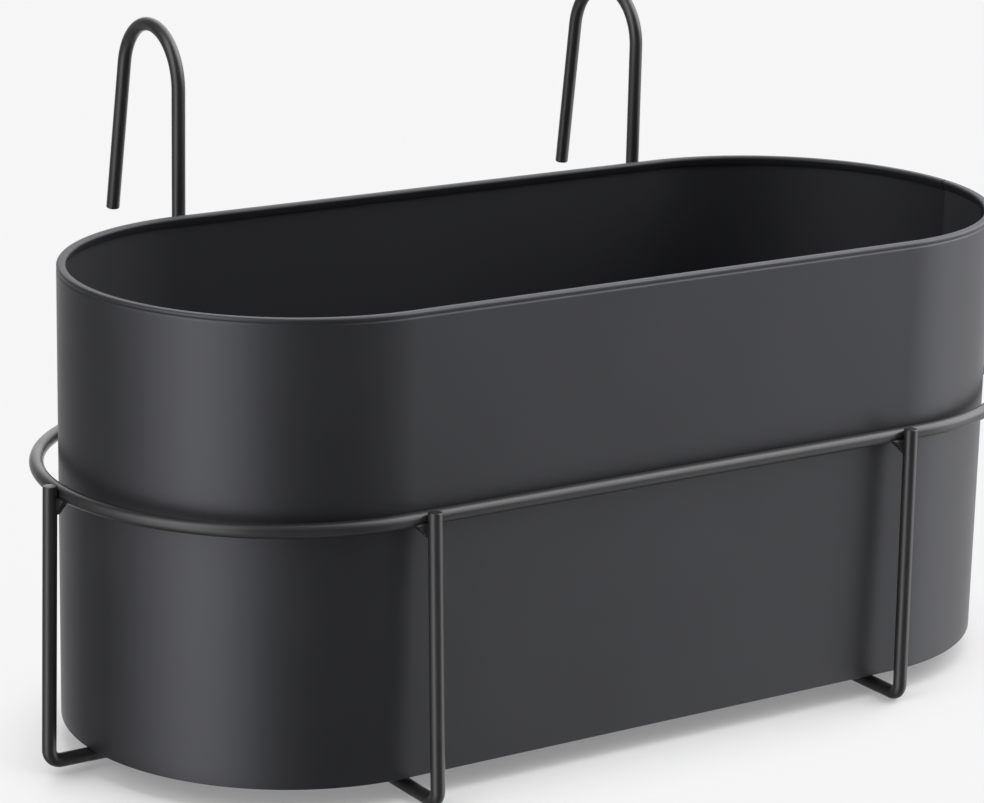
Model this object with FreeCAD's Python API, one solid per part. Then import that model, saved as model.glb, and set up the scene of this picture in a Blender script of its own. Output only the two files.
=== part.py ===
import FreeCAD, Part
import os
from math import cos, sin, tan, radians, pi

# Railing planter: a loose oval sheet-steel trough standing in a welded round-wire holder
# with two hooks that go over a railing.
# Millimetres. X runs along the trough, the front is -Y, the hooks are at +Y, +Z is up.
# The origin is on the floor, under the middle of the trough.

# ---- Trough ----
TROUGH_LENGTH = 370.0
TROUGH_WIDTH = 160.0
TROUGH_HEIGHT = 162.0
SHEET = 0.8
RIM_CURL_RADIUS = 1.6      # outer radius of the inward curl at the rim
RIM_CURL_DROP = 2.4        # straight lip of the curl, on the inside
BOTTOM_FOLD_HEIGHT = 4.0   # seam that clamps the flange of the bottom
BOTTOM_FOLD_BEND = 0.35    # outside rounding of the fold
PAN_CORNER_RADIUS = 1.6    # outer radius between the bottom's floor and its flange
LAP_WIDTH = 9.0            # overlap where the two ends of the wall strip meet
LAP_ANGLE = -9.5           # place of the overlap on the right-hand end, from +X towards the back
RIM_NOTCH_WIDTH = 1.2      # slit in the curl beside the overlap

# ---- Wire holder ----
WIRE_DIAMETER = 5.0
RING_HEIGHT = 92.4         # ring's centre line above the trough's lower edge
RING_SIDE_GAP = 0.75       # trough wall to ring, along the front and the back
RING_END_GAP = 5.5         # trough wall to ring, at the two ends
TROUGH_SEAT_GAP = 0.3      # trough's lower edge above the lengthwise wire
CROSSING_SETDOWN = 2.2     # how far crossing wires are pressed into each other when welded
LEG_SETDOWN = 0.4          # how far a leg is pressed into the ring when welded
LEG_TOP_ABOVE_RING = 3.0   # cut end of a leg above the ring's centre line
FOOT_BEND_RADIUS = 4.5     # centre-line radius
HANGER_SPACING = 202.0     # distance between the two hanger wires
FRONT_LEG_SPLAY = {"left": 2.8, "right": 1.0}   # degrees, foot outwards
END_LEG_SPLAY = 0.9        # degrees, foot outwards

# ---- Hooks ----
HOOK_RADIUS = 20.9         # centre-line radius of the crown
HOOK_RISE = 43.7           # centre of the crown above the trough's rim
HOOK_FREE_LENGTH = 57.5    # straight free leg
HOOK_FLARE = {"left": 10.0, "right": 7.0}       # degrees, free end away from the trough

# ---- Welds ----
WELD_REACH = 7.0           # web beside a leg, from the leg's centre line
WELD_TOP_DEPTH = 1.6       # height of the web's outer end
WELD_DROP = 7.4            # foot of the web below the ring's centre line
WELD_FOOT = 0.9            # foot of the web past the leg's skin
WELD_HOLLOW = 0.7          # how far the web's slanting edge dips inwards
WELD_THICKNESS = 2.8
WELD_CORNER_RADIUS = 0.8   # corners of the web's outline
WELD_EDGE_RADIUS = 0.6     # edges of its two faces
CROSSING_WELD_REACH = 2.9  # past the wires' skins
CROSSING_WELD_THICKNESS = 3.8
WELD_ROUNDING = 0.42       # rim rounding of a crossing's weld, as a share of its thickness
JOINT_WELD_RADIUS = 2.85   # collar where the ring's two ends are butted together
JOINT_WELD_LENGTH = 3.2

# ---- Levels and places that follow from the sizes above ----
WIRE_RADIUS = WIRE_DIAMETER / 2
CROSS_WIRE_Z = WIRE_RADIUS
CRADLE_WIRE_Z = CROSS_WIRE_Z + WIRE_DIAMETER - CROSSING_SETDOWN
TROUGH_Z = CRADLE_WIRE_Z + WIRE_RADIUS + TROUGH_SEAT_GAP
RIM_Z = TROUGH_Z + TROUGH_HEIGHT
RING_Z = TROUGH_Z + RING_HEIGHT
LEG_TOP_Z = RING_Z + LEG_TOP_ABOVE_RING
HOOK_Z = RIM_Z + HOOK_RISE

TROUGH_END_RADIUS = TROUGH_WIDTH / 2
TROUGH_STRAIGHT = TROUGH_LENGTH - TROUGH_WIDTH
RING_HALF_WIDTH = TROUGH_WIDTH / 2 + RING_SIDE_GAP + WIRE_RADIUS
RING_HALF_LENGTH = TROUGH_LENGTH / 2 + RING_END_GAP + WIRE_RADIUS
RING_STRAIGHT = 2 * (RING_HALF_LENGTH - RING_HALF_WIDTH)
LEG_OFFSET = WIRE_DIAMETER - LEG_SETDOWN
LEG_Y = RING_HALF_WIDTH + LEG_OFFSET
END_LEG_X = RING_HALF_LENGTH + LEG_OFFSET
HANGER_X = {"left": -HANGER_SPACING / 2, "right": HANGER_SPACING / 2}

X_AXIS = FreeCAD.Vector(1, 0, 0)
Y_AXIS = FreeCAD.Vector(0, 1, 0)
Z_AXIS = FreeCAD.Vector(0, 0, 1)


def line(a, b):
    return Part.LineSegment(a, b).toShape()


def arc(a, middle, b):
    return Part.Arc(a, middle, b).toShape()


def oval_sweep(section, straight):
    """Carry a closed section, drawn in the XZ plane with x as its distance from the oval's
    spine, once round an oval whose straight sides are `straight` long."""
    face = Part.Face(section)
    half = straight / 2
    right_end = face.copy()
    right_end.translate(X_AXIS * half)
    right_end.rotate(X_AXIS * half, Z_AXIS, -90)
    right_end = right_end.revolve(X_AXIS * half, Z_AXIS, 180)
    left_end = right_end.copy()
    left_end.rotate(FreeCAD.Vector(0, 0, 0), Z_AXIS, 180)
    front_section = face.copy()
    front_section.rotate(FreeCAD.Vector(0, 0, 0), Z_AXIS, -90)
    front_section.translate(X_AXIS * -half)
    front = front_section.extrude(X_AXIS * straight)
    back = front.copy()
    back.rotate(FreeCAD.Vector(0, 0, 0), Z_AXIS, 180)
    return right_end.fuse([left_end, front, back]).removeSplitter()


def oval_plate(half_width, straight, low_z, high_z):
    """A flat oval plate."""
    half = straight / 2
    box = Part.makeBox(straight, 2 * half_width, high_z - low_z, FreeCAD.Vector(-half, -half_width, low_z))
    ends = []
    for x in (-half, half):
        ends.append(Part.makeCylinder(half_width, high_z - low_z, FreeCAD.Vector(x, 0, low_z)))
    return box.fuse(ends).removeSplitter()


def bent_path(corners, bend_radius):
    """Straight runs between the corners, joined by tangent arcs of one radius."""
    edges = []
    start = corners[0]
    for before, corner, after in zip(corners, corners[1:], corners[2:]):
        back_way = (before - corner).normalize()
        on_way = (after - corner).normalize()
        half_angle = back_way.getAngle(on_way) / 2
        trim = bend_radius / tan(half_angle)
        bisector = (back_way + on_way).normalize()
        centre = corner + bisector * (bend_radius / sin(half_angle))
        arc_start = corner + back_way * trim
        arc_end = corner + on_way * trim
        edges.append(line(start, arc_start))
        edges.append(arc(arc_start, centre - bisector * bend_radius, arc_end))
        start = arc_end
    edges.append(line(start, corners[-1]))
    return edges


def round_wire(edges, start, direction):
    """Round wire of the holder's gauge along a path."""
    disc = Part.Wire(Part.makeCircle(WIRE_RADIUS, start, direction))
    return Part.Wire(edges).makePipeShell([disc], True, False)


def wall_section():
    """The sheet in section: the fold at the foot, the wall and the inward curl at the rim."""
    outer = TROUGH_END_RADIUS
    inner = outer - SHEET
    slot_inner = inner - SHEET
    fold_inner = slot_inner - SHEET
    fold_top = TROUGH_Z + BOTTOM_FOLD_HEIGHT
    curl_z = RIM_Z - RIM_CURL_RADIUS
    curl_x = outer - RIM_CURL_RADIUS
    curl_inner_radius = RIM_CURL_RADIUS - SHEET
    lip_z = curl_z - RIM_CURL_DROP
    bend = BOTTOM_FOLD_BEND
    diagonal = bend * (1 - cos(radians(45)))

    def at(x, z):
        return FreeCAD.Vector(x, 0, z)

    edges = [
        line(at(outer, TROUGH_Z + bend), at(outer, curl_z)),
        arc(at(outer, curl_z), at(curl_x, RIM_Z), at(outer - 2 * RIM_CURL_RADIUS, curl_z)),
        line(at(outer - 2 * RIM_CURL_RADIUS, curl_z), at(outer - 2 * RIM_CURL_RADIUS, lip_z)),
        line(at(outer - 2 * RIM_CURL_RADIUS, lip_z), at(curl_x - curl_inner_radius, lip_z)),
        line(at(curl_x - curl_inner_radius, lip_z), at(curl_x - curl_inner_radius, curl_z)),
        arc(at(curl_x - curl_inner_radius, curl_z), at(curl_x, curl_z + curl_inner_radius),
            at(inner, curl_z)),
        line(at(inner, curl_z), at(inner, TROUGH_Z + SHEET)),
        line(at(inner, TROUGH_Z + SHEET), at(slot_inner, TROUGH_Z + SHEET)),
        line(at(slot_inner, TROUGH_Z + SHEET), at(slot_inner, fold_top)),
        line(at(slot_inner, fold_top), at(fold_inner, fold_top)),
        line(at(fold_inner, fold_top), at(fold_inner, TROUGH_Z + bend)),
        arc(at(fold_inner, TROUGH_Z + bend), at(fold_inner + diagonal, TROUGH_Z + diagonal),
            at(fold_inner + bend, TROUGH_Z)),
        line(at(fold_inner + bend, TROUGH_Z), at(outer - bend, TROUGH_Z)),
        arc(at(outer - bend, TROUGH_Z), at(outer - diagonal, TROUGH_Z + diagonal),
            at(outer, TROUGH_Z + bend)),
    ]
    return Part.Wire(edges)


def sector(inner_radius, outer_radius, low_z, high_z, first_angle, sweep_angle):
    """Upright curved block about the centre of the trough's right-hand end."""
    centre = FreeCAD.Vector(TROUGH_STRAIGHT / 2, 0, low_z)
    height = high_z - low_z
    block = Part.makeCylinder(outer_radius, height, centre, Z_AXIS, sweep_angle)
    block = block.cut(Part.makeCylinder(inner_radius, height, centre))
    block.rotate(centre, Z_AXIS, first_angle)
    return block


def trough_wall():
    wall = oval_sweep(wall_section(), TROUGH_STRAIGHT)
    inner = TROUGH_END_RADIUS - SHEET
    lap_sweep = LAP_WIDTH / inner * 180 / pi
    lap_top = RIM_Z - RIM_CURL_RADIUS
    lap_foot = TROUGH_Z + BOTTOM_FOLD_HEIGHT + SHEET
    lap = sector(inner - SHEET, inner, lap_foot, lap_top, LAP_ANGLE, lap_sweep)
    notch_sweep = RIM_NOTCH_WIDTH / inner * 180 / pi
    lip_inner = TROUGH_END_RADIUS - 2 * RIM_CURL_RADIUS
    curl_middle = TROUGH_END_RADIUS - RIM_CURL_RADIUS
    notch_foot = lap_top - RIM_CURL_DROP
    notch = sector(lip_inner - SHEET, curl_middle, notch_foot - SHEET, RIM_Z + SHEET,
                   LAP_ANGLE + lap_sweep, notch_sweep)
    return wall.fuse(lap).cut(notch).removeSplitter()


def trough_bottom():
    """Flat bottom with a turned-down flange that sits in the fold of the wall."""
    flange_outer = TROUGH_END_RADIUS - SHEET
    flange_inner = flange_outer - SHEET
    floor_z = TROUGH_Z + BOTTOM_FOLD_HEIGHT
    flange_foot = TROUGH_Z + SHEET
    plate = oval_plate(flange_outer, TROUGH_STRAIGHT, flange_foot, floor_z + SHEET)
    hollow = oval_plate(flange_inner, TROUGH_STRAIGHT, flange_foot, floor_z)
    pan = plate.cut(hollow)
    top_edges = []
    for edge in pan.Edges:
        box = edge.BoundBox
        if abs(box.ZMin - floor_z - SHEET) < 1e-6 and abs(box.ZMax - floor_z - SHEET) < 1e-6:
            top_edges.append(edge)
    return pan.makeFillet(min(PAN_CORNER_RADIUS, 0.9 * SHEET), top_edges)


def ring_wire():
    """The closed oval hoop round the trough."""
    section = Part.Wire(Part.makeCircle(WIRE_RADIUS, FreeCAD.Vector(RING_HALF_WIDTH, 0, RING_Z), Y_AXIS))
    return oval_sweep(section, RING_STRAIGHT)


def cradle_wire():
    """The lengthwise wire: up both ends of the trough and along under its middle."""
    lean = tan(radians(END_LEG_SPLAY))
    top_x = END_LEG_X - LEG_TOP_ABOVE_RING * lean
    foot_x = END_LEG_X + (RING_Z - CRADLE_WIRE_Z) * lean
    left_top = FreeCAD.Vector(-top_x, 0, LEG_TOP_Z)
    left_foot = FreeCAD.Vector(-foot_x, 0, CRADLE_WIRE_Z)
    right_foot = FreeCAD.Vector(foot_x, 0, CRADLE_WIRE_Z)
    right_top = FreeCAD.Vector(top_x, 0, LEG_TOP_Z)
    path = bent_path([left_top, left_foot, right_foot, right_top], FOOT_BEND_RADIUS)
    return round_wire(path, left_top, left_top - left_foot)


def hanger_wire(side):
    """One wire from the front leg, under the trough, up the back and over into a hook."""
    x = HANGER_X[side]
    splay = radians(FRONT_LEG_SPLAY[side])
    flare = radians(HOOK_FLARE[side])

    def at(y, z):
        return FreeCAD.Vector(x, y, z)

    front_top = at(-LEG_Y + LEG_TOP_ABOVE_RING * tan(splay), LEG_TOP_Z)
    front_foot = at(-LEG_Y - (RING_Z - CROSS_WIRE_Z) * tan(splay), CROSS_WIRE_Z)
    back_foot = at(LEG_Y, CROSS_WIRE_Z)
    crown_start = at(LEG_Y, HOOK_Z)
    crown_y = LEG_Y + HOOK_RADIUS
    half_turn = (pi - flare) / 2
    crown_middle = at(crown_y - HOOK_RADIUS * cos(half_turn), HOOK_Z + HOOK_RADIUS * sin(half_turn))
    crown_end = at(crown_y + HOOK_RADIUS * cos(flare), HOOK_Z + HOOK_RADIUS * sin(flare))
    free_end = crown_end + FreeCAD.Vector(0, sin(flare), -cos(flare)) * HOOK_FREE_LENGTH
    path = bent_path([front_top, front_foot, back_foot, crown_start], FOOT_BEND_RADIUS)
    path.append(arc(crown_start, crown_middle, crown_end))
    path.append(line(crown_end, free_end))
    return round_wire(path, front_top, front_top - front_foot)


def rounded_disc(start, direction, radius, thickness):
    """A thick disc of weld with its rims rounded off."""
    disc = Part.makeCylinder(radius, thickness, start, direction)
    rims = [edge for edge in disc.Edges if edge.Closed and len(edge.Vertexes) == 1]
    return disc.makeFillet(WELD_ROUNDING * thickness, rims)


def leg_weld(contact, outward, wires):
    """Webs of weld under the ring, at both sides of a leg and joined behind it. The contact
    is half-way between the centre lines of the leg and the ring."""
    along = Z_AXIS.cross(outward)
    low_z = -WELD_DROP
    half_foot = WIRE_RADIUS + WELD_FOOT
    half_hollow = (half_foot + WELD_REACH) / 2 - WELD_HOLLOW
    hollow_z = (low_z - WELD_TOP_DEPTH) / 2 + WELD_HOLLOW
    side = [(WELD_REACH, 0.0), (WELD_REACH, -WELD_TOP_DEPTH), (half_hollow, hollow_z), (half_foot, low_z)]
    outline = [(0.0, 0.0)] + side + [(-x, z) for x, z in reversed(side)] + [(0.0, 0.0)]
    start = contact - outward * (WELD_THICKNESS / 2)
    corners = [start + along * x + Z_AXIS * z for x, z in outline]
    face = Part.Face(Part.Wire(bent_path(corners, WELD_CORNER_RADIUS)))
    web = face.extrude(outward * WELD_THICKNESS)
    rims = [edge for edge in web.Edges if abs(edge.tangentAt(edge.FirstParameter).dot(outward)) < 0.5]
    web = web.makeFillet(WELD_EDGE_RADIUS, rims)
    return web.cut(wires)


def crossing_weld(side, wires):
    """Weld round the place where a hanger wire passes under the lengthwise wire."""
    reach = WIRE_RADIUS + CROSSING_WELD_REACH
    middle_z = (CROSS_WIRE_Z + CRADLE_WIRE_Z) / 2
    start = FreeCAD.Vector(HANGER_X[side], 0, middle_z - CROSSING_WELD_THICKNESS / 2)
    return rounded_disc(start, Z_AXIS, reach, CROSSING_WELD_THICKNESS).cut(wires)


def ring_joint_weld(ring):
    """Collar of weld at the middle of the back, where the hoop's ends are butted."""
    start = FreeCAD.Vector(-JOINT_WELD_LENGTH / 2, RING_HALF_WIDTH, RING_Z)
    collar = Part.makeCylinder(JOINT_WELD_RADIUS, JOINT_WELD_LENGTH, start, X_AXIS)
    rims = [edge for edge in collar.Edges if edge.BoundBox.XLength < 1e-6]
    rounding = 0.9 * (JOINT_WELD_RADIUS - WIRE_RADIUS)
    return collar.makeFillet(rounding, rims).cut(ring)


def build():
    nodes = {}
    nodes["trough_wall"] = trough_wall()
    nodes["trough_bottom"] = trough_bottom()
    ring = ring_wire()
    cradle = cradle_wire()
    nodes["ring_wire"] = ring
    nodes["cradle_wire"] = cradle.cut(ring)
    nodes["weld_ring_joint"] = ring_joint_weld(ring)
    half_offset = LEG_OFFSET / 2
    for side in ("left", "right"):
        hanger = hanger_wire(side).cut([ring, cradle])
        nodes["hanger_wire_" + side] = hanger
        x = HANGER_X[side]
        front_contact = FreeCAD.Vector(x, -RING_HALF_WIDTH - half_offset, RING_Z)
        back_contact = FreeCAD.Vector(x, RING_HALF_WIDTH + half_offset, RING_Z)
        end_way = X_AXIS if side == "right" else -X_AXIS
        end_contact = end_way * (RING_HALF_LENGTH + half_offset) + Z_AXIS * RING_Z
        nodes["weld_front_leg_" + side] = leg_weld(front_contact, -Y_AXIS, [hanger, ring])
        nodes["weld_back_leg_" + side] = leg_weld(back_contact, Y_AXIS, [hanger, ring])
        nodes["weld_end_leg_" + side] = leg_weld(end_contact, end_way, [cradle, ring])
        nodes["weld_crossing_" + side] = crossing_weld(side, [hanger, cradle])
    return nodes


os.makedirs("parts", exist_ok=True)
for name, shape in build().items():
    shape.exportStep(os.path.join("parts", name + ".step"))
    print(name, "solids", len(shape.Solids), "valid", shape.isValid(), "volume", round(shape.Volume, 1))
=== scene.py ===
import bpy
import bmesh
import math
from mathutils import Matrix, Vector


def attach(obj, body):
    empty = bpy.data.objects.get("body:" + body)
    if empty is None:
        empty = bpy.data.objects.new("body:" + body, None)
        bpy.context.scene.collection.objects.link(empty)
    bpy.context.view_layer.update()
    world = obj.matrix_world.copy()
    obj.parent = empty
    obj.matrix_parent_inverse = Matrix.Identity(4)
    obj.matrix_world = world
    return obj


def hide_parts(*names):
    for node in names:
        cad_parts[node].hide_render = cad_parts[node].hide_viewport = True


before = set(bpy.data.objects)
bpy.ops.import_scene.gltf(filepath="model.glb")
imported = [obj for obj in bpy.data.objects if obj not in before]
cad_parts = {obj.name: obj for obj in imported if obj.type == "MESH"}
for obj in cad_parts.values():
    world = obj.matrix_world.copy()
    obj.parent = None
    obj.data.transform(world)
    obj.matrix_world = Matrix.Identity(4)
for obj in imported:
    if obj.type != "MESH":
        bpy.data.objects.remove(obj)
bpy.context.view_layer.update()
mm = 0.001
hair = 0.001 * mm  # places closer together than this are one place
mergeWithin = 0.004 * mm

# the planter's main sizes, which the pieces take theirs from
planter = {
    "length": 370.0 * mm,
    "width": 160.0 * mm,
    "height": 162.0 * mm,
    "sheet": 0.8 * mm,
    "wire": 5.0 * mm,
    "setdown": 2.2 * mm,  # how far crossing wires are pressed into each other
    "seatGap": 0.3 * mm,  # between the trough and the wire under it
}
wireRadius = planter["wire"] / 2
crossZ = wireRadius
cradleZ = crossZ + planter["wire"] - planter["setdown"]
troughFoot = cradleZ + wireRadius + planter["seatGap"]
troughRim = troughFoot + planter["height"]
troughHalf = planter["width"] / 2
troughStraight = planter["length"] - planter["width"]


# small helpers for working in edit mode without a window

def deselectAll():
    if bpy.context.mode != "OBJECT":
        bpy.ops.object.mode_set(mode="OBJECT")
    bpy.ops.object.select_all(action="DESELECT")


def pick(*pieces):
    # only these are selected, and the first is active
    deselectAll()
    for piece in pieces:
        piece.select_set(True)
    bpy.context.view_layer.objects.active = pieces[0]


def openForEditing(piece):
    pick(piece)
    bpy.ops.object.mode_set(mode="EDIT")
    bpy.ops.mesh.select_mode(type="VERT")


def backToObject():
    bpy.ops.object.mode_set(mode="OBJECT")


def applyPlace():
    bpy.ops.object.transform_apply(location=True, rotation=True, scale=True)


def newPiece(name):
    # the primitive that was just added becomes the piece, at the origin
    piece = bpy.context.view_layer.objects.active
    piece.name = name
    piece.data.name = name
    applyPlace()
    return piece


def joinPieces(*pieces):
    # all of them go into the first
    pick(*pieces)
    if len(pieces) > 1:
        bpy.ops.object.join()
    return pieces[0]


def selectPoints(piece, test):
    mesh = bmesh.from_edit_mesh(piece.data)
    for face in mesh.faces:
        face.select = False
    for edge in mesh.edges:
        edge.select = False
    for point in mesh.verts:
        point.select = test(point.co)
    mesh.select_flush(True)
    bmesh.update_edit_mesh(piece.data)


def selectEdges(piece, test):
    bpy.ops.mesh.select_mode(type="EDGE")
    bpy.ops.mesh.select_all(action="DESELECT")
    mesh = bmesh.from_edit_mesh(piece.data)
    for edge in mesh.edges:
        if test(edge):
            edge.select = True
    bmesh.update_edit_mesh(piece.data)


def extrudeBy(step):
    bpy.ops.mesh.extrude_region_move(TRANSFORM_OT_translate={"value": tuple(step)})


def spinBy(degrees, centre, axis, steps):
    # the operator counts its angle clockwise round the axis
    bpy.ops.mesh.spin(steps=steps, angle=-math.radians(degrees), center=tuple(centre),
                      axis=tuple(axis))


def closeUp():
    bpy.ops.mesh.select_all(action="SELECT")
    bpy.ops.mesh.remove_doubles(threshold=mergeWithin)
    bpy.ops.mesh.normals_make_consistent(inside=False)


def applyModifier(piece, kind, **settings):
    pick(piece)
    modifier = piece.modifiers.new(kind.title(), kind)
    for setting, value in settings.items():
        setattr(modifier, setting, value)
    bpy.ops.object.modifier_apply(modifier=modifier.name)


def smoothShade(piece, degrees):
    pick(piece)
    bpy.ops.object.shade_smooth_by_angle(angle=math.radians(degrees))


def fit(piece, coat, body, slotName, *nodes):
    # last touches: coat and the body that it moves with; the place in the record (slotName) is not used
    piece.data.materials.clear()
    piece.data.materials.append(coat)
    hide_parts(*nodes)
    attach(piece, body)


# camera: from the left front and a little above, turned slightly about its own axis

cameraSet = {
    "focus": Vector((-21.151, 0.0, 108.692)) * mm,
    "yaw": 33.693,
    "pitch": 15.727,
    "roll": 1.297,
    "distance": 1286.08 * mm,
    "focalPixels": 3577.5,
    "pictureWidth": 984,
    "sensor": 36.0,
    "clip": (0.05, 60.0),
}


def placeCamera(look):
    yaw, pitch, roll = (math.radians(look[k]) for k in ("yaw", "pitch", "roll"))
    forward = Vector((math.sin(yaw) * math.cos(pitch), math.cos(yaw) * math.cos(pitch),
                      -math.sin(pitch)))
    level = Vector((math.cos(yaw), -math.sin(yaw), 0.0))
    upright = level.cross(forward)
    side = level * math.cos(roll) + upright * math.sin(roll)
    top = upright * math.cos(roll) - level * math.sin(roll)
    turn = Matrix((side, top, -forward)).transposed()
    bpy.ops.object.camera_add(location=look["focus"] - forward * look["distance"],
                              rotation=turn.to_euler())
    camera = bpy.context.object
    camera.name = "photoCamera"
    camera.data.sensor_width = look["sensor"]
    camera.data.lens = look["focalPixels"] * look["sensor"] / look["pictureWidth"]
    camera.data.clip_start, camera.data.clip_end = look["clip"]
    bpy.context.scene.camera = camera


deselectAll()
placeCamera(cameraSet)
print("camera placed")


# coats

def addNode(tree, kind, at, **settings):
    node = tree.nodes.new(kind)
    node.location = at
    for setting, value in settings.items():
        setattr(node, setting, value)
    return node


def addMath(tree, operation, at, *sources):
    # each source is a number or the output of another node
    node = addNode(tree, "ShaderNodeMath", at, operation=operation)
    for socket, source in zip(node.inputs, sources):
        if isinstance(source, (int, float)):
            socket.default_value = source
        else:
            tree.links.new(source, socket)
    return node.outputs["Value"]


def mixColours(tree, share, first, second, at):
    # each colour is three numbers or the output of another node
    node = addNode(tree, "ShaderNodeMix", at, data_type="RGBA")
    tree.links.new(share, node.inputs["Factor"])
    for name, colour in (("A", first), ("B", second)):
        if isinstance(colour, tuple):
            node.inputs[name].default_value = (*colour, 1)
        else:
            tree.links.new(colour, node.inputs[name])
    return node.outputs["Result"]


def mixShaders(tree, share, first, second, at):
    node = addNode(tree, "ShaderNodeMixShader", at)
    for socket, source in zip(node.inputs, (share, first, second)):
        tree.links.new(source, socket)
    return node.outputs["Shader"]


def remap(tree, source, fromRange, toRange, at, **settings):
    spread = addNode(tree, "ShaderNodeMapRange", at, **settings)
    for name, value in zip(("From Min", "From Max", "To Min", "To Max"), (*fromRange, *toRange)):
        spread.inputs[name].default_value = value
    tree.links.new(source, spread.inputs["Value"])
    return spread.outputs["Result"]


def emptyTree(owner):
    owner.use_nodes = True
    owner.node_tree.nodes.clear()
    return owner.node_tree


def insideOval(tree, place, look):
    # 1 inside the oval wall and 0 outside; inside, the coat gets its own roughness and a colour that is
    # painted light and shade for how the interior is lit
    split = addNode(tree, "ShaderNodeSeparateXYZ", (-1000, 700))
    tree.links.new(place, split.inputs["Vector"])
    along = addMath(tree, "ABSOLUTE", (-850, 700), split.outputs["X"])
    past = addMath(tree, "SUBTRACT", (-700, 700), along, look["half"])
    beyond = addMath(tree, "MAXIMUM", (-550, 700), past, 0.0)
    spot = addNode(tree, "ShaderNodeCombineXYZ", (-400, 700))
    tree.links.new(beyond, spot.inputs["X"])
    tree.links.new(split.outputs["Y"], spot.inputs["Y"])
    reach = addNode(tree, "ShaderNodeVectorMath", (-250, 700), operation="LENGTH")
    tree.links.new(spot.outputs["Vector"], reach.inputs[0])
    return addMath(tree, "LESS_THAN", (-100, 700), reach.outputs["Value"], look["radius"])


noiseKinds = {"cloud": (3.0, 0.55), "grain": (2.0, 0.6), "peel": (1.5, 0.5)}  # detail, roughness


def noiseField(tree, place, kind, look, at):
    field = addNode(tree, "ShaderNodeTexNoise", at)
    field.inputs["Scale"].default_value = look[kind + "Scale"]
    field.inputs["Detail"].default_value, field.inputs["Roughness"].default_value = noiseKinds[kind]
    tree.links.new(place, field.inputs["Vector"])
    return field.outputs["Fac"]


def powderCoat(name, look):
    # satin powder coat: cloudy tone, fine orange peel, even finer grain and a few tiny nibs
    coat = bpy.data.materials.new(name)
    tree = emptyTree(coat)
    link = tree.links.new
    output = addNode(tree, "ShaderNodeOutputMaterial", (900, 0))
    shader = addNode(tree, "ShaderNodeBsdfPrincipled", (600, 0))
    link(shader.outputs["BSDF"], output.inputs["Surface"])
    shader.inputs["IOR"].default_value = look["ior"]
    shader.inputs["Specular IOR Level"].default_value = look["specular"]
    # the specular tint paints the colour of the room's light into the reflections
    shader.inputs["Specular Tint"].default_value = (*look["tint"], 1)
    place = addNode(tree, "ShaderNodeTexCoord", (-1200, 0)).outputs["Object"]
    within = insideOval(tree, place, look["inside"])

    cloud = noiseField(tree, place, "cloud", look, (-900, 300))
    grain = noiseField(tree, place, "grain", look, (-900, 60))
    peel = noiseField(tree, place, "peel", look, (-900, -180))
    nibs = addNode(tree, "ShaderNodeTexVoronoi", (-900, -420))
    nibs.inputs["Scale"].default_value = look["nibScale"]
    link(place, nibs.inputs["Vector"])
    nib = remap(tree, nibs.outputs["Distance"], (0.0, look["nibSize"]), (1.0, 0.0), (-600, -420))

    cloudy = remap(tree, cloud, look["cloudSpread"], (0.0, look["cloudShare"]), (-600, 360))
    grainy = addMath(tree, "MULTIPLY_ADD", (-450, 220), grain, look["grainShare"], cloudy)
    tone = mixColours(tree, grainy, look["dark"], look["light"], (-300, 300))
    # painted light and shade: inside the oval the tone gives way to one flat colour, set to how bright
    # the lit interior looks
    toneWithInsideLight = mixColours(tree, within, tone, look["insidePaintedLight"], (0, 300))
    link(toneWithInsideLight, shader.inputs["Base Color"])
    gloss = remap(tree, cloud, look["cloudSpread"], look["rough"], (-300, 60))
    dull = addMath(tree, "MULTIPLY_ADD", (0, 60), within, look["insideRough"], gloss)
    link(dull, shader.inputs["Roughness"])

    normal = None
    for i, (kind, height) in enumerate((("grain", grain), ("peel", peel), ("nib", nib))):
        bump = addNode(tree, "ShaderNodeBump", (-300 + 240 * i, -120 - 100 * i))
        strength, depth = look[kind + "Bump"]
        bump.inputs["Strength"].default_value = strength
        bump.inputs["Distance"].default_value = depth
        link(height, bump.inputs["Height"])
        if normal:
            link(normal, bump.inputs["Normal"])
        normal = bump.outputs["Normal"]
    link(normal, shader.inputs["Normal"])
    return coat


sheetLook = {
    "dark": (0.0098, 0.0101, 0.0115), "light": (0.0142, 0.0145, 0.0163),
    "cloudSpread": (0.3, 0.7), "cloudShare": 0.75, "grainShare": 0.5,
    # tint: a blue cast on the coat's reflections, painted in for the colour of the room's light
    "ior": 1.7, "specular": 0.62, "tint": (0.91, 0.915, 1.0),
    "rough": (0.42, 0.46),
    "inside": {"half": troughStraight / 2, "radius": troughHalf - planter["sheet"] / 2},
    # the inside's colour is painted light and shade for the trough's interior
    "insidePaintedLight": (0.0125, 0.0128, 0.0138), "insideRough": 0.16,
    "cloudScale": 22.0, "grainScale": 5200.0, "peelScale": 900.0, "nibScale": 260.0, "nibSize": 0.09,
    # strength and depth
    "grainBump": (0.35, 0.02 * mm), "peelBump": (0.25, 0.04 * mm), "nibBump": (0.25, 0.05 * mm),
}
wireLook = dict(sheetLook, dark=(0.0165, 0.0162, 0.0165), light=(0.0232, 0.0228, 0.0228),
                cloudScale=60.0, peelScale=1300.0, rough=(0.33, 0.4), specular=0.57,
                tint=(0.98, 0.97, 1.0))
weldLook = dict(wireLook, dark=(0.0125, 0.0123, 0.0125), light=(0.019, 0.0187, 0.0187),
                cloudScale=400.0, peelScale=1500.0, peelBump=(0.6, 0.12 * mm), rough=(0.28, 0.42))

sheetCoat = powderCoat("sheetCoat", sheetLook)
wireCoat = powderCoat("wireCoat", wireLook)
weldCoat = powderCoat("weldCoat", weldLook)
print("coats mixed")


# trough: a strip rolled into an oval, curled in at the rim and folded at the foot

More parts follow.
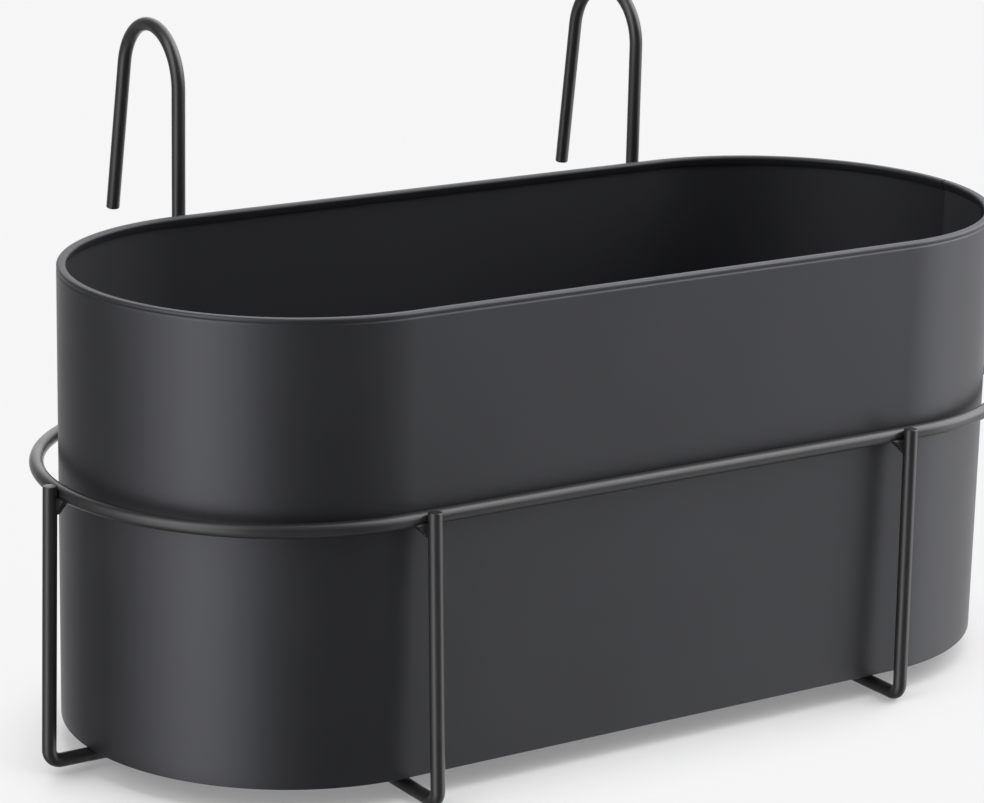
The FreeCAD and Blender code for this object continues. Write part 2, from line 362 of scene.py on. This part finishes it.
trough = {
    "halfWidth": troughHalf,
    "straight": troughStraight,
    "foot": troughFoot,
    "rim": troughRim,
    "sheet": planter["sheet"],
    # flat-topped curl: half its width, its corners, and the lip that leans back to the wall
    "curlRadius": 1.6 * mm,
    "curlCorner": 0.9 * mm,
    "neckDepth": 0.3 * mm,
    "neckHeight": 1.6 * mm,
    "neckSteps": 12,
    "lipLean": 24,
    "lipLength": 2.3 * mm,
    "foldHeight": 4.0 * mm,
    "foldBend": 0.45 * mm,
    "foldRound": 0.28 * mm,
    "outlineStart": 2.0 * mm,  # above the fold
    "endSteps": 110,
}


def roundCorner(centreX, centreZ, radius, fromDegrees, toDegrees, steps):
    spots = []
    for i in range(steps + 1):
        turn = math.radians(fromDegrees + (toDegrees - fromDegrees) * i / steps)
        spots.append((centreX + radius * math.cos(turn), centreZ + radius * math.sin(turn)))
    return spots


def sheetOutline(look):
    # the sheet cut across, as distance from the oval's spine and height
    outer = look["halfWidth"]
    sheet = look["sheet"]
    inner = outer - sheet
    slot = inner - sheet
    fold = slot - sheet
    foot = look["foot"]
    bend = look["foldBend"]
    corner = look["curlCorner"]
    high = look["rim"] - corner
    lipX = outer - 2 * look["curlRadius"] + corner
    foldTop = foot + look["foldHeight"]
    foldRound = look["foldRound"]
    neckSteps = look["neckSteps"]
    turned = 180 + look["lipLean"]
    lean = math.radians(turned)
    along = (-math.sin(lean) * look["lipLength"], math.cos(lean) * look["lipLength"])
    spots = [(outer, foldTop + look["outlineStart"])]
    # shallow neck under the rim, left by the rolling
    for i in range(neckSteps + 1):
        z = high - look["neckHeight"] * (1 - i / neckSteps)
        spots.append((outer - look["neckDepth"] * math.sin(math.pi * i / neckSteps) ** 2, z))
    spots += roundCorner(outer - corner, high, corner, 0, 90, 8)[1:]
    spots += roundCorner(lipX, high, corner, 90, turned, 9)
    # rounded end of the lip, and back along its hidden side
    middle = corner - sheet / 2
    endX = lipX + middle * math.cos(lean) + along[0]
    endZ = high + middle * math.sin(lean) + along[1]
    spots += roundCorner(endX, endZ, sheet / 2, turned, turned + 180, 6)
    spots += roundCorner(lipX, high, corner - sheet, turned, 90, 5)
    spots += roundCorner(outer - corner, high, corner - sheet, 90, 0, 4)
    spots += [(inner, foot + sheet), (slot, foot + sheet), (slot, foldTop - foldRound)]
    spots += roundCorner(slot - foldRound, foldTop - foldRound, foldRound, 0, 90, 3)[1:]
    spots += roundCorner(fold + foldRound, foldTop - foldRound, foldRound, 90, 180, 3)
    spots += roundCorner(fold + bend, foot + bend, bend, 180, 270, 4)
    spots += roundCorner(outer - bend, foot + bend, bend, 270, 360, 4)
    return spots


def drawOutline(name, spots, place):
    # a plane cut down to one corner, and then drawn out point by point into a closed outline
    side = 1 * mm
    bpy.ops.mesh.primitive_plane_add(size=side)
    piece = newPiece(name)
    openForEditing(piece)
    selectPoints(piece, lambda co: not (co.x > 0 and co.y > 0))
    bpy.ops.mesh.delete(type="VERT")
    bpy.ops.mesh.select_all(action="SELECT")
    start = Vector((side / 2, side / 2, 0))
    bpy.ops.transform.translate(value=place(*spots[0]) - start)
    for before, after in zip(spots, spots[1:]):
        extrudeBy(place(*after) - place(*before))
    bpy.ops.mesh.select_all(action="SELECT")
    bpy.ops.mesh.remove_doubles(threshold=hair)
    mesh = bmesh.from_edit_mesh(piece.data)
    for point in mesh.verts:
        point.select = len(point.link_edges) == 1
    mesh.select_flush(True)
    bmesh.update_edit_mesh(piece.data)
    bpy.ops.mesh.edge_face_add()
    bpy.ops.mesh.select_all(action="SELECT")
    return piece


def sweepOval(straight, endSteps):
    # the selected outline stands at the left end of the front; carry it round once
    half = straight / 2
    extrudeBy((straight, 0, 0))
    spinBy(180, (half, 0, 0), (0, 0, 1), endSteps)
    extrudeBy((-straight, 0, 0))
    spinBy(180, (-half, 0, 0), (0, 0, 1), endSteps)
    closeUp()


def makeWall(look):
    half = look["straight"] / 2
    wall = drawOutline("troughWallSheet", sheetOutline(look), lambda d, z: Vector((-half, -d, z)))
    sweepOval(look["straight"], look["endSteps"])
    backToObject()
    return wall


lap = {
    "fromDegrees": -24.0,
    "width": 28.84 * mm,
    "steps": 20,
    "taperSteps": 12,
    "edgeRound": 0.32 * mm,
    "pressedIn": 0.02 * mm,
    "thinnedBy": 0.98,
    "turnWithin": 0.001,  # radians
    "slit": 0.8 * mm,
    # in curl radii: how far the slit's middle is from the wall's face and the rim, and its size
    "slitAt": (1.9, 1.5),
    "slitSize": (1.8, 5.2),
}


def makeLap(look, wallLook):
    # the strip's inner end where it laps over the other, inside the right-hand end
    outer = wallLook["halfWidth"] - wallLook["sheet"] + look["pressedIn"]
    inner = outer - wallLook["sheet"]
    low = wallLook["foot"] + wallLook["foldHeight"] + wallLook["sheet"]
    high = wallLook["rim"] - wallLook["curlRadius"]
    half = wallLook["straight"] / 2
    first = math.radians(look["fromDegrees"])

    def place(d, z):
        return Vector((half + d * math.cos(first), d * math.sin(first), z))

    piece = drawOutline("wallLap", [(outer, low), (outer, high), (inner, high), (inner, low)], place)
    sweep = math.degrees(look["width"] / inner)
    spinBy(sweep, (half, 0, 0), (0, 0, 1), look["steps"])
    bpy.ops.mesh.select_all(action="SELECT")
    bpy.ops.mesh.remove_doubles(threshold=hair)

    def onInnerSide(spot, out):
        away = Vector((spot.x - half, spot.y, 0))
        inLine = abs(away.normalized().cross(out).z) < look["turnWithin"]
        return inLine and away.length < (inner + outer) / 2

    # towards the front it thins out and runs into the wall
    for i in range(look["taperSteps"]):
        turn = first + math.radians(sweep) * i / look["steps"]
        out = Vector((math.cos(turn), math.sin(turn), 0))
        selectPoints(piece, lambda spot: onInnerSide(spot, out))
        thinned = wallLook["sheet"] * (1 - i / look["taperSteps"]) * look["thinnedBy"]
        bpy.ops.transform.translate(value=out * thinned)
    bpy.ops.mesh.select_all(action="DESELECT")
    bpy.ops.mesh.select_mode(type="EDGE")
    bpy.ops.mesh.select_non_manifold()
    bpy.ops.mesh.edge_face_add()
    bpy.ops.mesh.select_all(action="DESELECT")
    bpy.ops.mesh.select_non_manifold()
    bpy.ops.mesh.fill_holes(sides=8)
    closeUp()
    backToObject()
    applyModifier(piece, "BEVEL", width=look["edgeRound"], segments=2, limit_method="ANGLE",
                  angle_limit=math.radians(60))
    return piece


def cutSlit(wall, look, wallLook):
    # slit through the curl, beside the lap's edge
    half = wallLook["straight"] / 2
    inner = wallLook["halfWidth"] - wallLook["sheet"]
    curl = wallLook["curlRadius"]
    start = math.radians(look["fromDegrees"]) + look["width"] / inner
    turn = start + look["slit"] / inner / 2
    slitIn, slitDown = look["slitAt"]
    deep, tall = look["slitSize"]
    middle = wallLook["halfWidth"] - slitIn * curl
    bpy.ops.mesh.primitive_cube_add(size=1, rotation=(0, 0, turn),
                                    location=(half + middle * math.cos(turn),
                                              middle * math.sin(turn),
                                              wallLook["rim"] - slitDown * curl))
    cutter = bpy.context.object
    cutter.scale = (deep * curl, look["slit"], tall * curl)
    applyPlace()
    applyModifier(wall, "BOOLEAN", object=cutter, operation="DIFFERENCE", solver="EXACT")
    bpy.data.objects.remove(cutter)


deselectAll()
wall = makeWall(trough)
cutSlit(wall, lap, trough)
joinPieces(wall, makeLap(lap, trough))
smoothShade(wall, 40)
fit(wall, sheetCoat, "trough", "trough_coat", "trough_wall")
print("wall rolled:", len(wall.data.polygons), "faces")


pan = {
    "play": 0.05 * mm,  # between the flange and the wall's fold
    "cornerRadius": 0.9 * mm,
    "rimInset": 6.0 * mm,
    "roundSteps": 160,
}


def makePan(look, wallLook):
    sheet = wallLook["sheet"]
    top = wallLook["foot"] + wallLook["foldHeight"] + sheet
    flangeFoot = wallLook["foot"] + sheet + look["play"]
    bpy.ops.mesh.primitive_circle_add(vertices=look["roundSteps"], location=(0, 0, top),
                                      radius=wallLook["halfWidth"] - sheet - look["play"])
    piece = newPiece("troughFloorPan")
    openForEditing(piece)
    half = wallLook["straight"] / 2
    selectPoints(piece, lambda co: co.x > hair)
    bpy.ops.transform.translate(value=(half, 0, 0))
    selectPoints(piece, lambda co: co.x < -hair)
    bpy.ops.transform.translate(value=(-half, 0, 0))
    bpy.ops.mesh.select_all(action="SELECT")
    bpy.ops.mesh.edge_face_add()
    bpy.ops.mesh.inset(thickness=look["rimInset"])
    bpy.ops.mesh.select_all(action="DESELECT")
    bpy.ops.mesh.select_mode(type="EDGE")
    bpy.ops.mesh.select_non_manifold()
    extrudeBy((0, 0, flangeFoot - top))
    bpy.ops.mesh.select_all(action="SELECT")
    bpy.ops.mesh.normals_make_consistent(inside=False)

    def topEdge(edge):
        ends = [point.co for point in edge.verts]
        atTop = all(abs(end.z - top) < hair for end in ends)
        faces = edge.link_faces
        return atTop and len(faces) == 2 and abs(faces[0].normal.dot(faces[1].normal)) < 0.5

    selectEdges(piece, topEdge)
    bpy.ops.mesh.bevel(offset=look["cornerRadius"], segments=4)
    backToObject()
    applyModifier(piece, "SOLIDIFY", thickness=sheet, offset=-1, use_even_offset=True)
    smoothShade(piece, 40)
    return piece


deselectAll()
floorPan = makePan(pan, trough)
fit(floorPan, sheetCoat, "trough", "trough_coat", "trough_bottom")
print("pan pressed:", len(floorPan.data.polygons), "faces")


# round wire

wire = {
    "around": 32,
    "footRadius": 4.5 * mm,
    "footSteps": 14,
    "crownSteps": 40,
    "endRound": 0.35 * mm,
}
holder = {
    "ringHeight": 92.4 * mm,  # above the trough's foot
    "sideGap": 0.75 * mm,
    "endGap": 5.5 * mm,
    "ringEndSteps": 120,
    "legSetdown": 0.4 * mm,  # how far a leg is pressed into the ring
    "legAboveRing": 3.0 * mm,
    "endSplay": 0.9,
    "frontSplay": {"left": 2.8, "right": 1.0},
    "hangerSpacing": 202.0 * mm,
}
hook = {
    "rise": 43.7 * mm,  # from the trough's rim
    "radius": 20.9 * mm,
    "freeLength": 57.5 * mm,
    "flare": {"left": 10.0, "right": 7.0},
}
ringZ = troughFoot + holder["ringHeight"]
ringHalfWidth = troughHalf + holder["sideGap"] + wireRadius
ringHalfLength = planter["length"] / 2 + holder["endGap"] + wireRadius
legOffset = planter["wire"] - holder["legSetdown"]
legTop = ringZ + holder["legAboveRing"]
legY = ringHalfWidth + legOffset
endLegX = ringHalfLength + legOffset
hangerX = {"left": -holder["hangerSpacing"] / 2, "right": holder["hangerSpacing"] / 2}
hookZ = troughRim + hook["rise"]


def startWire(name, spot, heading):
    bpy.ops.mesh.primitive_circle_add(vertices=wire["around"], radius=wireRadius, location=spot,
                                      rotation=heading.to_track_quat("Z", "Y").to_euler())
    piece = newPiece(name)
    openForEditing(piece)
    bpy.ops.mesh.select_all(action="SELECT")
    return piece


def bendThrough(corners, radius, steps):
    # runs and bends from the selected end; every corner but the first and last gets a bend
    spot = corners[0]
    for before, corner, after in zip(corners, corners[1:], corners[2:]):
        backWay = (before - corner).normalized()
        onWay = (after - corner).normalized()
        halfAngle = backWay.angle(onWay) / 2
        trim = radius / math.tan(halfAngle)
        centre = corner + (backWay + onWay).normalized() * (radius / math.sin(halfAngle))
        extrudeBy(corner + backWay * trim - spot)
        turn = 180 - 2 * math.degrees(halfAngle)
        spinBy(turn, centre, (-backWay).cross(onWay).normalized(), steps)
        spot = corner + onWay * trim
    extrudeBy(corners[-1] - spot)


def endWire(piece):
    # flat sheared ends with a small round at their edge
    bpy.ops.mesh.select_all(action="DESELECT")
    bpy.ops.mesh.select_mode(type="EDGE")
    bpy.ops.mesh.select_non_manifold()
    bpy.ops.mesh.fill_holes(sides=wire["around"])
    closeUp()
    selectEdges(piece, lambda edge: any(len(face.verts) == wire["around"]
                                        for face in edge.link_faces))
    bpy.ops.mesh.bevel(offset=wire["endRound"], segments=3)
    backToObject()
    smoothShade(piece, 50)


def makeRing():
    half = ringHalfLength - ringHalfWidth
    ring = startWire("hoopWire", Vector((-half, -ringHalfWidth, ringZ)), Vector((1, 0, 0)))
    sweepOval(2 * half, holder["ringEndSteps"])
    backToObject()
    smoothShade(ring, 50)
    return ring


def makeCradle():
    lean = math.tan(math.radians(holder["endSplay"]))
    topX = endLegX - (legTop - ringZ) * lean
    footX = endLegX + (ringZ - cradleZ) * lean
    corners = [Vector((-topX, 0, legTop)), Vector((-footX, 0, cradleZ)),
               Vector((footX, 0, cradleZ)), Vector((topX, 0, legTop))]
    piece = startWire("lengthwiseWire", corners[0], corners[1] - corners[0])
    bendThrough(corners, wire["footRadius"], wire["footSteps"])
    endWire(piece)
    return piece


def makeHanger(side):
    x = hangerX[side]
    lean = math.tan(math.radians(holder["frontSplay"][side]))
    flare = math.radians(hook["flare"][side])
    top = Vector((x, -legY + (legTop - ringZ) * lean, legTop))
    foot = Vector((x, -legY - (ringZ - crossZ) * lean, crossZ))
    corners = [top, foot, Vector((x, legY, crossZ)), Vector((x, legY, hookZ))]
    piece = startWire(side + "HangerWire", top, foot - top)
    bendThrough(corners, wire["footRadius"], wire["footSteps"])
    crown = (x, legY + hook["radius"], hookZ)
    spinBy(180 - hook["flare"][side], crown, (-1, 0, 0), wire["crownSteps"])
    extrudeBy(Vector((0, math.sin(flare), -math.cos(flare))) * hook["freeLength"])
    endWire(piece)
    return piece


deselectAll()
fit(makeRing(), wireCoat, "holder", "wire_coat", "ring_wire")
deselectAll()
fit(makeCradle(), wireCoat, "holder", "wire_coat", "cradle_wire")
for side in ("left", "right"):
    deselectAll()
    fit(makeHanger(side), wireCoat, "holder", "wire_coat", "hanger_wire_" + side)
print("wires bent")


# welds: webs under the ring beside each leg, collars elsewhere

web = {
    "reach": 7.6 * mm,
    "hiddenReach": 3.2 * mm,  # on the front legs' right
    "drop": 6.6 * mm,
    "thickness": 2.7 * mm,
    "top": -0.9 * mm,
    "behind": 0.5 * mm,
    "bead": (3.4 * mm, 1.1 * mm, 2.4 * mm),
    "beadAt": (0, 0.9 * mm, -2.9 * mm),
    "knob": 0.75 * mm,
    "knobAt": (-2.9 * mm, -0.5 * mm, -4.6 * mm),
    "voxel": 0.25 * mm,
    "smoothing": 6,
    "lump": 0.3 * mm,
    "lumpSize": 1.4 * mm,
}


def addWedge(reach, way, look):
    # a three-sided bar laid along Y, its point down beside the leg; its triangle starts out
    # as wide as the root of 3, and 1.5 high
    bpy.ops.mesh.primitive_cone_add(vertices=3, radius1=1.0, radius2=1.0, depth=1.0,
                                    rotation=(math.radians(-90), 0, 0))
    wedge = bpy.context.object
    applyPlace()
    openForEditing(wedge)
    bpy.ops.mesh.select_all(action="SELECT")
    bpy.ops.transform.resize(value=(reach / math.sqrt(3), look["thickness"], look["drop"] / 1.5),
                             center_override=(0, 0, 0))
    # straight up along the leg, sloping only on the free side
    outward = way * (reach / 2 - look["behind"])
    selectPoints(wedge, lambda spot: spot.z < 0)
    bpy.ops.transform.translate(value=(-outward, 0, 0))
    backToObject()
    wedge.location = (outward, 0, look["top"] - look["drop"] / 3)
    applyPlace()
    return wedge


def addBlob(centre, halfSize):
    # a ball flattened in edit mode
    bpy.ops.mesh.primitive_ico_sphere_add(subdivisions=3, radius=1.0, location=(0, 0, 0))
    blob = bpy.context.object
    openForEditing(blob)
    bpy.ops.mesh.select_all(action="SELECT")
    bpy.ops.transform.resize(value=halfSize, center_override=(0, 0, 0))
    backToObject()
    blob.location = centre
    applyPlace()
    return blob


def meltTogether(name, blobs, look):
    piece = joinPieces(*blobs)
    piece.name = name
    applyModifier(piece, "REMESH", mode="VOXEL", voxel_size=look["voxel"])
    applyModifier(piece, "SMOOTH", factor=0.5, iterations=look["smoothing"])
    ripple = bpy.data.textures.new(name + "Ripple", "CLOUDS")
    ripple.noise_scale = look["lumpSize"]
    ripple.noise_depth = 1
    applyModifier(piece, "DISPLACE", texture=ripple, strength=look["lump"], mid_level=0.5,
                  texture_coords="GLOBAL")
    applyModifier(piece, "SMOOTH", factor=0.5, iterations=1)
    bpy.data.textures.remove(ripple)
    smoothShade(piece, 180)
    return piece


def legWeld(name, contact, turnDegrees, rightReach, look):
    # drawn for a leg in front of the ring, and then turned to its place
    blobs = [addBlob(look["beadAt"], look["bead"]), addBlob(look["knobAt"], (look["knob"],) * 3),
             addWedge(look["reach"], -1, look), addWedge(rightReach, 1, look)]
    for blob in blobs:
        blob.rotation_euler = (0, 0, math.radians(turnDegrees))
        blob.location = contact
    pick(*blobs)
    applyPlace()
    return meltTogether(name, blobs, look)


collar = {
    "crossing": (4.6 * mm, 4.6 * mm, 1.9 * mm),
    "joint": (2.1 * mm, 2.95 * mm, 2.95 * mm),
}

deselectAll()
ringSide = ringHalfWidth + legOffset / 2
ringEnd = ringHalfLength + legOffset / 2
for side, way in (("left", -1), ("right", 1)):
    x = hangerX[side]
    # leg, where it meets the ring, how far it is turned from the front, reach on its right
    legs = [("front", (x, -ringSide), 0, web["hiddenReach"]),
            ("back", (x, ringSide), 180, web["reach"]),
            ("end", (way * ringEnd, 0), 90 * way, web["reach"])]
    for leg, spot, turned, rightReach in legs:
        weld = legWeld(side + leg.title() + "Weld", Vector((*spot, ringZ)), turned, rightReach, web)
        fit(weld, weldCoat, "holder", "wire_coat", "weld_" + leg + "_leg_" + side)
    crossSpot = Vector((x, 0, (crossZ + cradleZ) / 2))
    deselectAll()
    fit(meltTogether(side + "CrossingWeld", [addBlob(crossSpot, collar["crossing"])], web),
        weldCoat, "holder", "wire_coat", "weld_crossing_" + side)
deselectAll()
jointSpot = Vector((0, ringHalfWidth, ringZ))
fit(meltTogether("hoopJointWeld", [addBlob(jointSpot, collar["joint"])], web),
    weldCoat, "holder", "wire_coat", "weld_ring_joint")
print("welds laid")


# studio: pale floor, and a room with broad soft lights that the camera sees as a pale wall

studio = {
    "floorSize": 30.0,
    "floorColour": 0.8,
    "floorSeen": 0.9,
    # share of plain paper white: close under the planter, and in the open
    "floorGlow": (0.25, 0.98),
    "floorNear": 0.08,
    "floorOpen": (0.42, 0.78),
    "floorGloss": 0.85,
    "backdrop": 0.921,
}


def grey(tone):
    return (tone, tone, tone, 1)


def paintFloor(look):
    # the camera sees part of the floor's white as plain paper, and keeps the shadow on the rest
    paint = bpy.data.materials.new("floorPaint")
    tree = emptyTree(paint)
    link = tree.links.new
    output = addNode(tree, "ShaderNodeOutputMaterial", (800, 0))
    path = addNode(tree, "ShaderNodeLightPath", (-600, 300)).outputs
    seen = addMath(tree, "MAXIMUM", (-400, 300), path["Is Camera Ray"], path["Is Glossy Ray"])
    colour = mixColours(tree, seen, (look["floorColour"],) * 3, (look["floorSeen"],) * 3, (-200, 0))
    matt = addNode(tree, "ShaderNodeBsdfDiffuse", (0, -100))
    link(colour, matt.inputs["Color"])
    glow = addNode(tree, "ShaderNodeEmission", (0, 100))
    glow.inputs["Color"].default_value = grey(look["backdrop"])
    near = addNode(tree, "ShaderNodeAmbientOcclusion", (-600, 600))
    near.inputs["Distance"].default_value = look["floorNear"]
    lightest = remap(tree, near.outputs["AO"], look["floorOpen"], look["floorGlow"], (-400, 600))
    share = addMath(tree, "MULTIPLY", (-200, 300), seen, lightest)
    paper = mixShaders(tree, share, matt.outputs["BSDF"], glow.outputs["Emission"], (250, 0))
    # in reflections the satin floor mostly carries on the room's lights
    satin = addMath(tree, "MULTIPLY", (250, 300), path["Is Glossy Ray"], look["floorGloss"])
    clear = addNode(tree, "ShaderNodeBsdfTransparent", (250, -150))
    floorShader = mixShaders(tree, satin, paper, clear.outputs["BSDF"], (550, 0))
    link(floorShader, output.inputs["Surface"])
    return paint


def makeFloor(look):
    bpy.ops.mesh.primitive_plane_add(size=look["floorSize"], location=(0, 0, 0))
    floor = newPiece("studioFloor")
    floor.data.materials.append(paintFloor(look))


room = {
    # how bright the room is all round, in degrees from +X towards +Y: as the floor mirrors it
    "low": [(0, 0.95), (24, 0.85), (42, 1.6), (56, 2.3), (70, 1.7), (84, 0.8), (104, 0.25),
            (130, 0.03), (152, 0.1), (171, 0.65), (187, 1.75), (202, 1.9), (217, 0.9), (230, 0.05),
            (246, 0.0), (298, 0.0), (307, 0.1), (316, 1.0), (326, 1.95), (340, 1.3), (352, 1.05),
            (360, 0.95)],
    # and above the horizon
    "high": [(0, 4.0), (20, 3.2), (38, 2.7), (55, 2.7), (75, 1.9), (95, 0.5), (120, 0.1),
             (150, 0.4), (170, 1.9), (190, 3.4), (205, 2.3), (222, 0.3), (240, 0.05), (287, 0.05),
             (304, 1.7), (317, 3.8), (330, 4.4), (345, 4.4), (360, 4.0)],
    # the heights between which low goes over into high, where 1 is straight up
    "between": (0.05, 0.28),
    # and how both change from straight down to straight up
    "upwards": [(-1.0, 0.15), (-0.75, 0.3), (-0.5, 0.9), (-0.4, 1.0), (0.0, 1.0), (0.1, 0.75),
                (0.42, 0.7), (0.6, 0.8), (0.84, 0.75), (0.93, 0.3), (1.0, 0.2)],
    "brightest": 4.5,
}


def addRamp(tree, source, stops, at):
    node = addNode(tree, "ShaderNodeValToRGB", at)
    ramp = node.color_ramp
    ramp.interpolation = "LINEAR"
    while len(ramp.elements) > 1:
        ramp.elements.remove(ramp.elements[-1])
    ramp.elements[0].position = stops[0][0]
    ramp.elements[0].color = grey(stops[0][1])
    for spot, value in stops[1:]:
        stop = ramp.elements.new(spot)
        stop.color = grey(value)
    tree.links.new(source, node.inputs["Fac"])
    return node.outputs["Color"]


def lightRoom(look, backdrop):
    world = bpy.data.worlds.new("room")
    bpy.context.scene.world = world
    tree = emptyTree(world)
    link = tree.links.new
    output = addNode(tree, "ShaderNodeOutputWorld", (800, 0))
    coords = addNode(tree, "ShaderNodeTexCoord", (-1000, 0))
    split = addNode(tree, "ShaderNodeSeparateXYZ", (-800, 0))
    link(coords.outputs["Generated"], split.inputs["Vector"])
    east, north, up = split.outputs
    # once round is 0 to 1
    angle = addMath(tree, "ARCTAN2", (-600, 150), north, east)
    turn = addMath(tree, "DIVIDE", (-450, 150), angle, 2 * math.pi)
    whole = addMath(tree, "WRAP", (-300, 150), turn, 1.0, 0.0)
    bands = []
    for name, y in (("low", 350), ("high", 100)):
        stops = [(degrees / 360, value / look["brightest"]) for degrees, value in look[name]]
        bands.append(addRamp(tree, whole, stops, (-150, y)))
    lift = addMath(tree, "MULTIPLY_ADD", (-450, -150), up, 0.5, 0.5)
    stops = [((z + 1) / 2, value) for z, value in look["upwards"]]
    upwards = addRamp(tree, lift, stops, (-150, -150))
    rise = remap(tree, up, look["between"], (0.0, 1.0), (-150, -400), interpolation_type="SMOOTHSTEP")
    around = mixColours(tree, rise, *bands, (100, 250))
    lit = addNode(tree, "ShaderNodeBackground", (400, 100))
    link(addMath(tree, "MULTIPLY", (250, 0), around, upwards), lit.inputs["Color"])
    lit.inputs["Strength"].default_value = look["brightest"]
    pale = addNode(tree, "ShaderNodeBackground", (400, -100))
    pale.inputs["Color"].default_value = grey(backdrop)
    seen = addNode(tree, "ShaderNodeLightPath", (150, 300)).outputs["Is Camera Ray"]
    roomShader = mixShaders(tree, seen, lit.outputs["Background"], pale.outputs["Background"], (600, 0))
    link(roomShader, output.inputs["Surface"])


softBoxes = {
    "topBox": {"at": (0.0, 0.2, 2.4), "aim": (0, 0, 0.1), "size": (1.6, 1.2), "watts": 1.5},
}


def hangBox(name, look):
    aim = Vector(look["aim"]) - Vector(look["at"])
    bpy.ops.object.light_add(type="AREA", location=look["at"],
                             rotation=aim.to_track_quat("-Z", "Y").to_euler())
    box = bpy.context.object
    box.name = name
    box.data.shape = "RECTANGLE"
    box.data.size, box.data.size_y = look["size"]
    box.data.energy = look["watts"]
    box.visible_camera = False


deselectAll()
makeFloor(studio)
lightRoom(room, studio["backdrop"])
for name, look in softBoxes.items():
    hangBox(name, look)
bpy.context.scene.view_settings.view_transform = "Standard"
print("studio lit")
